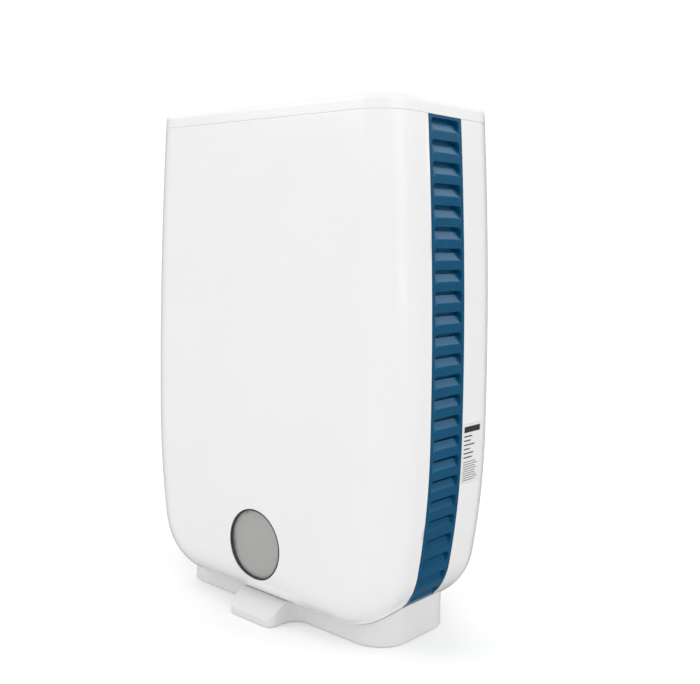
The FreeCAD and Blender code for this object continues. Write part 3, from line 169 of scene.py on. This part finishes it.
WHITE = (0.785, 0.785, 0.782)
MATERIALS = {
    "white_gloss": moulded(
        "white_gloss", WHITE, 0.20, grain=420.0, bump=0.008, spread=0.008, coat=0.35),
    "white_satin": moulded("white_satin", (0.70, 0.70, 0.695), 0.46, bump=0.10, spread=0.012),
    "petrol_blue": moulded(
        "petrol_blue", (0.002, 0.066, 0.150), 0.26, bump=0.05, spread=0.06, coat=0.35),
    "window_smoke": clear_plastic("window_smoke", (0.12, 0.115, 0.105), 0.06, 0.20),
    "dark_trim": moulded("dark_trim", (0.03, 0.032, 0.035), 0.38, bump=0.06),
    "tank_clear": clear_plastic("tank_clear", (0.46, 0.435, 0.40), 0.28, 0.86),
    "grey_inner": moulded("grey_inner", (0.30, 0.31, 0.32), 0.5, bump=0.08),
    "rubber": moulded("rubber", (0.02, 0.02, 0.02), 0.85, grain=1500.0, bump=0.25),
    "steel": metal("steel", (0.55, 0.55, 0.56), 0.32),
    "desiccant": moulded("desiccant", (0.62, 0.57, 0.48), 0.9, grain=900.0, bump=0.5, spread=0.12),
    "filter_cloth": woven("filter_cloth", (0.10, 0.10, 0.11), 260.0),
    "board": moulded("board", (0.01, 0.10, 0.04), 0.35, bump=0.1),
    "label": moulded("label", (0.72, 0.72, 0.71), 0.35, bump=0.03),
    "panel_grey": moulded("panel_grey", (0.28, 0.30, 0.33), 0.35, bump=0.06),
    "lamp": moulded("lamp", (0.10, 0.38, 0.50), 0.15, bump=0.01),
}
BLUE_SHADER = MATERIALS["petrol_blue"].node_tree.nodes["Principled BSDF"]
BLUE_SHADER.inputs["Specular Tint"].default_value = (0.25, 0.72, 1.0, 1.0)
BLUE_SHADER.inputs["Specular IOR Level"].default_value = 0.6
BLUE_SHADER.inputs["Coat Weight"].default_value = 0.12
NODE_SLOT = {part["node"]: part["material_slot"] for part in frame["record"]["subparts"]}
NODE_BODY = {n: b for b, nodes in frame["record"]["behaviour"]["bodies"].items() for n in nodes}


def finish_piece(obj, node, *replaced):
    """Give a new piece its material, its body and the CAD nodes that it stands for."""
    obj.data.materials.clear()
    obj.data.materials.append(MATERIALS[NODE_SLOT[node]])
    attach(obj, NODE_BODY[node])
    if replaced:
        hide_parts(*replaced)
    return obj


# ================================================================ mesh helpers
def mesh_object(name, vertices, faces):
    mesh = bpy.data.meshes.new(name)
    mesh.from_pydata([tuple(p) for p in vertices], [], faces)
    obj = bpy.data.objects.new(name, mesh)
    bpy.context.scene.collection.objects.link(obj)
    return obj


def tidy_mesh(obj, merge=1e-6):
    bm = bmesh.new()
    bm.from_mesh(obj.data)
    bmesh.ops.remove_doubles(bm, verts=bm.verts, dist=merge)
    bmesh.ops.recalc_face_normals(bm, faces=bm.faces)
    bm.to_mesh(obj.data)
    bm.free()
    return obj


def apply_modifiers(obj):
    graph = bpy.context.evaluated_depsgraph_get()
    graph.update()
    mesh = bpy.data.meshes.new_from_object(obj.evaluated_get(graph))
    obj.modifiers.clear()
    obj.data = mesh
    return obj


def smooth(obj):
    for face in obj.data.polygons:
        face.use_smooth = True
    return obj


def bevel_edges(obj, width, segments=3, angle=35.0):
    bevel = obj.modifiers.new("edge", "BEVEL")
    bevel.width = width
    bevel.segments = segments
    bevel.limit_method = "ANGLE"
    bevel.angle_limit = math.radians(angle)
    bevel.use_clamp_overlap = True
    weighted = obj.modifiers.new("normals", "WEIGHTED_NORMAL")
    weighted.keep_sharp = False
    weighted.weight = 90
    return obj


def grid(rows):
    """Vertices and faces of a sheet given as rows of points."""
    width = len(rows[0])
    vertices = [p for row in rows for p in row]
    faces = []
    for i in range(len(rows) - 1):
        for j in range(width - 1):
            a = i * width + j
            faces.append((a, a + 1, a + width + 1, a + width))
    return vertices, faces


def softened(node, width):
    """A copy of a CAD node with its hard edges rounded as on a moulded part."""
    obj = frame["nodes"][node].copy()
    obj.data = obj.data.copy()
    obj.name = node + "_soft"
    obj.parent = None
    bpy.context.scene.collection.objects.link(obj)
    bm = bmesh.new()
    bm.from_mesh(obj.data)
    bmesh.ops.remove_doubles(bm, verts=bm.verts, dist=2e-6)
    bmesh.ops.dissolve_limit(bm, angle_limit=math.radians(0.4), verts=bm.verts, edges=bm.edges)
    bmesh.ops.recalc_face_normals(bm, faces=bm.faces)
    bm.to_mesh(obj.data)
    bm.free()
    if "custom_normal" in obj.data.attributes:
        obj.data.attributes.remove(obj.data.attributes["custom_normal"])
    smooth(obj)
    bevel_edges(obj, width)
    return finish_piece(obj, node, node)


# ================================================================ body covers
def on_arc(cx, cz, radius, angle):
    return (cx + radius * math.cos(angle), cz + radius * math.sin(angle))


def side_outline(inset, top_z):
    """Right-hand outline from the top down to where the flat bottom starts, as (x, z) points."""
    points = []
    levels = [top_z + (WIDEST_Z - top_z) * i / 16 for i in range(16)]
    for z in [top_z, top_z - RIM_SUPPORT] + levels[1:]:
        radius = SIDE_UPPER_R - inset
        points.append((UPPER_CX + math.sqrt(radius ** 2 - (z - WIDEST_Z) ** 2), z))
    for i in range(14):
        points.append(on_arc(LOWER_CX, WIDEST_Z, SIDE_LOWER_R - inset, -CORNER_ANGLE * i / 14))
    span = math.pi / 2 - CORNER_ANGLE
    for i in range(25):
        points.append(on_arc(CORNER_CX, CORNER_CZ, CORNER_R - inset, -CORNER_ANGLE - span * i / 24))
    return points


def edge_inset(y):
    """How far the front or back rounding draws the surface in at this depth."""
    deep = min(EDGE_R, max(0.0, EDGE_R - (BACK_Y - abs(y))))
    return EDGE_R - math.sqrt(EDGE_R ** 2 - deep ** 2)


def rounding_depths(y_from, y_edge, steps):
    """Depths from a side seam forward to the front face, close together in the rounding."""
    start = math.copysign(BACK_Y - EDGE_R, y_edge)
    flat = [y_from + (start - y_from) * i / 4 for i in range(4)]
    reach = [EDGE_R * math.sin(math.pi / 2 * i / steps) for i in range(steps + 1)]
    return flat + [start + math.copysign(r, y_edge) for r in reach]


def wrap_rows(depths):
    """Rows round the U of the body, one point per depth."""
    right = [side_outline(edge_inset(y), COVER_TOP) for y in depths]
    rows = []
    for i in range(len(right[0])):
        rows.append([Vector((right[j][i][0], y, right[j][i][1])) for j, y in enumerate(depths)])
    across = 28
    for k in range(1, across):
        x = CORNER_CX * (1.0 - 2.0 * k / across)
        rows.append([Vector((x, y, right[j][-1][1])) for j, y in enumerate(depths)])
    for i in reversed(range(len(right[0]))):
        rows.append([Vector((-right[j][i][0], y, right[j][i][1])) for j, y in enumerate(depths)])
    return rows


def front_rows():
    outline = side_outline(EDGE_R, COVER_TOP)
    steps = 28
    rows = []
    for x, z in outline:
        rows.append([Vector((x * (1.0 - 2.0 * k / steps), FRONT_Y, z)) for k in range(steps + 1)])
    return rows


def solid_shell(obj, thickness):
    wall = obj.modifiers.new("wall", "SOLIDIFY")
    wall.thickness = thickness
    wall.offset = -1.0
    wall.use_even_offset = True
    return obj


def front_cover():
    depths = rounding_depths(HIGHEST.y, FRONT_Y, 14)
    depths[-1] = FRONT_Y
    vertices, faces = grid(wrap_rows(depths))
    more_vertices, more_faces = grid(front_rows())
    start = len(vertices)
    faces += [tuple(start + i for i in face) for face in more_faces]
    cover = mesh_object("front_cover_shell", vertices + more_vertices, faces)
    tidy_mesh(cover, 1e-5)
    solid_shell(cover, WALL)
    apply_modifiers(cover)
    ring_low, ring_high = window_box()
    radius = (ring_high - ring_low) / 2 + 0.0003
    middle = (ring_high + ring_low) / 2
    cut_round(cover, 0.0, middle, radius, FRONT_Y - WINDOW_CUT[0], FRONT_Y + WINDOW_CUT[1])
    smooth(cover)
    bevel_edges(cover, COVER_BEVEL, 3, 50.0)
    return finish_piece(cover, "front_cover", "front_cover")


def window_box():
    """Lowest and highest level of the window ring's tube, from the width of the lens."""
    low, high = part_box("window_lens")
    trim = 0.00135
    middle = (low.z + high.z) / 2
    half = (high.x - low.x) / 2 + trim
    return middle - half, middle + half


def cut_round(obj, x, z, radius, y0, y1):
    bm = bmesh.new()
    turn = Matrix.Rotation(math.pi / 2, 4, "X")
    place = Matrix.Translation((x, (y0 + y1) / 2, z)) @ turn
    size = {"radius1": radius, "radius2": radius, "depth": y1 - y0}
    bmesh.ops.create_cone(bm, cap_ends=True, segments=128, matrix=place, **size)
    mesh = bpy.data.meshes.new("cutter")
    bm.to_mesh(mesh)
    bm.free()
    cutter = bpy.data.objects.new("cutter", mesh)
    bpy.context.scene.collection.objects.link(cutter)
    cut_out(obj, cutter)


def cut_out(obj, cutter):
    hole = obj.modifiers.new("hole", "BOOLEAN")
    hole.operation = "DIFFERENCE"
    hole.solver = "EXACT"
    hole.object = cutter
    apply_modifiers(obj)
    bpy.data.objects.remove(cutter)


def rear_shell():
    low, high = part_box("rear_shell")
    start = BACK_Y - EDGE_R
    depths = [low.y + (start - low.y) * i / 6 for i in range(6)]
    depths += [start + (high.y - start) * i / 6 for i in range(7)]
    vertices, faces = grid(wrap_rows(depths))
    shell = mesh_object("rear_shell_skin", vertices, faces)
    tidy_mesh(shell, 1e-5)
    solid_shell(shell, WALL)
    apply_modifiers(shell)
    cut_out(shell, label_pocket())
    smooth(shell)
    bevel_edges(shell, 0.0003, 2, 50.0)
    return finish_piece(shell, "rear_shell", "rear_shell")


def label_pocket():
    """Block that follows the side wall and sinks the label's recess into it."""
    low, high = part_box("rating_label")
    gap = 0.0003
    steps = 12
    vertices = []
    for k in range(steps + 1):
        z = low.z - gap + (high.z - low.z + 2 * gap) * k / steps
        for y in (low.y - gap, high.y + gap):
            vertices += [(side_at(z) - LABEL_SINK, y, z), (side_at(z) + WALL, y, z)]
    faces = [(0, 1, 3, 2), (4 * steps, 4 * steps + 2, 4 * steps + 3, 4 * steps + 1)]
    for k in range(steps):
        a = 4 * k
        for i, j in ((0, 2), (2, 3), (3, 1), (1, 0)):
            faces.append((a + i, a + j, a + 4 + j, a + 4 + i))
    return tidy_mesh(mesh_object("pocket", vertices, faces))


# ================================================================ louvred side grilles
LOUVRES = 24
FIRST_LOUVRE = 0.12      # share of a pitch above the first louvre
GRILLE_BACK = 0.0068     # how far the folded side edges reach in
GRILLE_MARGIN = 0.0040
SLIT_DEPTH = 0.0065
SCOOP_DEPTH = 0.0050
SLIT_TALL = 0.0034
SCOOP_TALL = 0.0105
SLOT_CORNER = 0.0045


def strip_length():
    low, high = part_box("side_grille_right")
    end_angle = math.acos((low.x - CORNER_CX) / CORNER_R)
    top_angle = math.asin((SEAM_Z - WIDEST_Z) / SIDE_UPPER_R)
    corner = CORNER_R * (end_angle - CORNER_ANGLE)
    return SIDE_UPPER_R * top_angle + SIDE_LOWER_R * CORNER_ANGLE + corner


def strip_point(s):
    """Point and outward normal of the side outline, s metres below the lid seam."""
    top_angle = math.asin((SEAM_Z - WIDEST_Z) / SIDE_UPPER_R)
    upper = SIDE_UPPER_R * top_angle
    lower = SIDE_LOWER_R * CORNER_ANGLE
    if s < upper:
        angle = top_angle - s / SIDE_UPPER_R
        x, z = on_arc(UPPER_CX, WIDEST_Z, SIDE_UPPER_R, angle)
    elif s < upper + lower:
        angle = -(s - upper) / SIDE_LOWER_R
        x, z = on_arc(LOWER_CX, WIDEST_Z, SIDE_LOWER_R, angle)
    else:
        angle = -CORNER_ANGLE - (s - upper - lower) / CORNER_R
        x, z = on_arc(CORNER_CX, CORNER_CZ, CORNER_R, angle)
    return x, z, math.cos(angle), math.sin(angle)


def louvre_depth(t, across, half_width):
    """Depth of the surface t metres below a louvre's top edge, at a distance from its middle."""
    past = max(0.0, abs(across) - (half_width - SLOT_CORNER))
    if past >= SLOT_CORNER:
        return 0.0
    t -= SLOT_CORNER - math.sqrt(SLOT_CORNER ** 2 - past ** 2)
    lip = 0.0004
    if t <= 0 or t >= SCOOP_TALL:
        return 0.0
    scoop = SCOOP_DEPTH * (1.0 - t / SCOOP_TALL) ** 0.85
    slit = SLIT_DEPTH if t < SLIT_TALL else 0.0
    wall = min(1.0, (SLOT_CORNER - past) / (2 * lip))
    return max(scoop, slit) * min(1.0, t / lip) * wall


def louvre_steps(pitch):
    """Distances along one louvre's pitch, close together where the form turns."""
    fine = [0.0, 0.0002, 0.0004, 0.0008, 0.0013, 0.0020, 0.0028, 0.0033, 0.0035, 0.0038]
    rest = [0.0042 + 0.0008 * i for i in range(12)]
    return fine + [t for t in rest if t < pitch - 0.0014] + [pitch - 0.0010]


def side_grille(node, side):
    low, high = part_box(node)
    middle = (low.y + high.y) / 2
    half = (high.y - low.y) / 2
    slot_half = half - GRILLE_MARGIN
    total = strip_length()
    pitch = total / LOUVRES
    across = [-half, -half + 0.002, -slot_half - 0.0003]
    edge = [0.0, 0.0004, 0.0008, 0.0013, 0.002, 0.0028, 0.0036]
    across += [-slot_half + e for e in edge]
    inner = slot_half - edge[-1]
    across += [-inner + 2 * inner * i / 8 for i in range(1, 8)]
    across += [-a for a in reversed(across[:10])]
    first = FIRST_LOUVRE * pitch
    levels = [0.0, first * 0.5]
    for i in range(LOUVRES):
        levels += [first + i * pitch + t for t in louvre_steps(pitch)]
    levels = [s for s in levels if s < total - 0.0002] + [total]
    rows = []
    for s in levels:
        x, z, nx, nz = strip_point(s)
        t = (s - first) % pitch if s >= first else -1.0
        row = []
        for a in across:
            d = louvre_depth(t, a, slot_half)
            row.append(Vector((side * (x - nx * d), middle + a, z - nz * d)))
        back_x = side * (x - nx * GRILLE_BACK)
        back_z = z - nz * GRILLE_BACK
        first_edge = Vector((back_x, middle - half, back_z))
        last_edge = Vector((back_x, middle + half, back_z))
        rows.append([first_edge] + row + [last_edge])
    vertices, faces = grid(rows)
    if side > 0:
        faces = [tuple(reversed(f)) for f in faces]
    grille = mesh_object(node + "_louvres", vertices, faces)
    smooth(grille)
    sharp = grille.modifiers.new("sharp", "EDGE_SPLIT")
    sharp.split_angle = math.radians(42.0)
    return finish_piece(grille, node, node)


# ================================================================ small visible details
def window_details():
    """Water gauge seen through the lens: a grey plate of painted shade for the window ring's shadowed
    left wall, a short dark edge line and the fill line.
    """
    ring_low, ring_high = window_box()
    middle = (ring_low + ring_high) / 2
    tank_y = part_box("water_tank")[0].y
    # painted shade: a grey plate darkens the left of the window, standing in for the shadow of the
    # window ring's left wall
    shade_plate = ((-0.046, 0.033), (-0.0245, 0.033), (-0.0215, -0.033), (-0.046, -0.033))
    edge = ((-0.0250, 0.025), (-0.0236, 0.025), (-0.0230, 0.007), (-0.0244, 0.007))
    line = ((-0.0250, -0.0196), (-0.0026, -0.0118), (-0.0026, -0.0126), (-0.0250, -0.0206))
    for name, corners, proud, slot in (("gauge_painted_shade", shade_plate, 0.0002, "grey_inner"),
                                       ("gauge_edge", edge, 0.0004, "dark_trim"),
                                       ("gauge_line", line, 0.0004, "white_satin")):
        flat_piece(name, [Vector((x, tank_y - proud, middle + z)) for x, z in corners], slot)


def flat_piece(name, corners, slot):
    """Thin plate on the front of the tank, a few tenths of a millimetre thick."""
    back = [c + Vector((0.0, 0.0003, 0.0)) for c in corners]
    sides = [(i, (i + 1) % 4, 4 + (i + 1) % 4, 4 + i) for i in range(4)]
    piece = tidy_mesh(mesh_object(name, corners + back, [(0, 1, 2, 3), (7, 6, 5, 4)] + sides), 1e-7)
    piece.data.materials.append(MATERIALS[slot])
    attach(piece, "tank")


def label_bars():
    """Plain bars on the blank rating label, with no lettering."""
    low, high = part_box("rating_label")
    y0 = low.y + 0.002
    full = high.y - low.y - 0.004
    top = high.z - 0.005
    bars = [(y0, y0 + full, top - 0.0028, top + 0.0028)]
    for i in range(6):
        z = top - 0.0065 - 0.0040 * i
        bars.append((y0, y0 + full * (0.35 + 0.5 * random.random()), z - 0.0006, z + 0.0006))
    for i in range(9):
        z = top - 0.0310 - 0.0022 * i
        bars.append((y0, y0 + full * (0.75 + 0.25 * random.random()), z - 0.0003, z + 0.0003))
    vertices = []
    faces = []
    steps = 4
    for y0, y1, z0, z1 in bars:
        for k in range(steps):
            za = z0 + (z1 - z0) * k / steps
            zb = z0 + (z1 - z0) * (k + 1) / steps
            start = len(vertices)
            for y, z in ((y0, za), (y1, za), (y1, zb), (y0, zb)):
                vertices.append((side_at(z) - LABEL_SINK / 4 + 0.00006, y, z))
            faces.append((start, start + 1, start + 2, start + 3))
    obj = mesh_object("rating_label_bars", vertices, faces)
    obj.data.materials.append(MATERIALS["dark_trim"])
    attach(obj, "housing")
    return obj


def side_at(z):
    radius = SIDE_UPPER_R if z >= WIDEST_Z else SIDE_LOWER_R
    centre = UPPER_CX if z >= WIDEST_Z else LOWER_CX
    return centre + math.sqrt(radius ** 2 - (z - WIDEST_Z) ** 2)


# ================================================================ camera, floor and light
CAMERA_PLACE = Vector((0.645, -0.675, 0.377))
CAMERA_TURN = math.radians(41.5)
CAMERA_DIP = math.radians(6.6)
CAMERA_ROLL = math.radians(1.02)
CAMERA_LENS = 47.4


def make_camera():
    level = math.cos(CAMERA_DIP)
    ahead = (-math.sin(CAMERA_TURN) * level, math.cos(CAMERA_TURN) * level, -math.sin(CAMERA_DIP))
    forward = Vector(ahead)
    right = Vector((math.cos(CAMERA_TURN), math.sin(CAMERA_TURN), 0.0))
    up = right.cross(forward)
    level_right = right * math.cos(CAMERA_ROLL) + up * math.sin(CAMERA_ROLL)
    level_up = up * math.cos(CAMERA_ROLL) - right * math.sin(CAMERA_ROLL)
    data = bpy.data.cameras.new("camera")
    data.lens = CAMERA_LENS
    data.sensor_width = 36.0
    camera = bpy.data.objects.new("camera", data)
    bpy.context.scene.collection.objects.link(camera)
    turn = Matrix((level_right, level_up, -forward)).transposed().to_4x4()
    camera.matrix_world = Matrix.Translation(CAMERA_PLACE) @ turn
    bpy.context.scene.camera = camera


def make_floor():
    size = 12.0
    corners = [(-size, -size, 0), (size, -size, 0), (size, size, 0), (-size, size, 0)]
    floor = mesh_object("floor", corners, [(0, 1, 2, 3)])
    paper = moulded("floor_white", (0.96, 0.96, 0.96), 0.7, grain=40.0, bump=0.0, spread=0.005)
    shader = paper.node_tree.nodes["Principled BSDF"]
    shader.inputs["Specular IOR Level"].default_value = 0.2
    shader.inputs["Emission Color"].default_value = (1.0, 1.0, 1.0, 1.0)
    shader.inputs["Emission Strength"].default_value = 0.06
    floor.data.materials.append(paper)
    floor.visible_glossy = False


def area_light(name, place, target, size, power, colour=(1.0, 1.0, 1.0)):
    data = bpy.data.lights.new(name, "AREA")
    data.shape = "RECTANGLE"
    data.size, data.size_y = size
    data.energy = power
    data.color = colour
    lamp = bpy.data.objects.new(name, data)
    bpy.context.scene.collection.objects.link(lamp)
    lamp.location = place
    lamp.rotation_euler = (Vector(target) - Vector(place)).to_track_quat("-Z", "Y").to_euler()


def make_light():
    world = bpy.data.worlds.new("studio")
    world.use_nodes = True
    tree = world.node_tree
    background = tree.nodes["Background"]
    background.inputs["Color"].default_value = (1.0, 1.0, 1.0, 1.0)
    coords = tree.nodes.new("ShaderNodeTexCoord")
    split = tree.nodes.new("ShaderNodeSeparateXYZ")
    tree.links.new(coords.outputs["Generated"], split.inputs["Vector"])
    overhead = tree.nodes.new("ShaderNodeMapRange")
    overhead.interpolation_type = "SMOOTHSTEP"
    overhead.inputs["From Min"].default_value = 0.10
    overhead.inputs["From Max"].default_value = 0.45
    overhead.inputs["To Min"].default_value = 0.15
    overhead.inputs["To Max"].default_value = 1.35
    tree.links.new(split.outputs["Z"], overhead.inputs["Value"])
    ray = tree.nodes.new("ShaderNodeLightPath")
    strength = tree.nodes.new("ShaderNodeMix")
    strength.inputs["A"].default_value = 1.05
    tree.links.new(ray.outputs["Is Glossy Ray"], strength.inputs["Factor"])
    tree.links.new(overhead.outputs["Result"], strength.inputs["B"])
    tree.links.new(strength.outputs["Result"], background.inputs["Strength"])
    bpy.context.scene.world = world
    middle = (0.0, 0.0, 0.25)
    area_light("key_left", (-1.1, -1.7, 1.3), middle, (1.2, 1.2), 5.0)
    area_light("fill_right", (1.9, -0.3, 0.9), middle, (1.0, 1.4), 3.0)
    area_light("top", (0.0, 0.1, 2.2), middle, (1.6, 1.2), 1.5)


make_camera()
make_floor()
make_light()
bpy.context.scene.view_settings.view_transform = "Standard"

for cad_node, cad_object in frame["nodes"].items():
    cad_object.data.materials.clear()
    cad_object.data.materials.append(MATERIALS[NODE_SLOT[cad_node]])

front_cover()
rear_shell()
side_grille("side_grille_right", 1)
side_grille("side_grille_left", -1)
SOFT_EDGES = {
    "top_lid": 0.0004, "back_cover": 0.0005, "stand": 0.0060, "carry_handle": 0.0012,
    "outlet_louvre": 0.0006, "water_tank": 0.0006, "tank_face": 0.0008,
    "intake_grille": 0.0003, "base_pan": 0.0004,
    "drain_plug": 0.0006, "cord_gland": 0.0005, "window_ring": 0.0002, "control_panel": 0.0003,
}
for soft_node, soft_width in SOFT_EDGES.items():
    softened(soft_node, soft_width)
window_details()
label_bars()
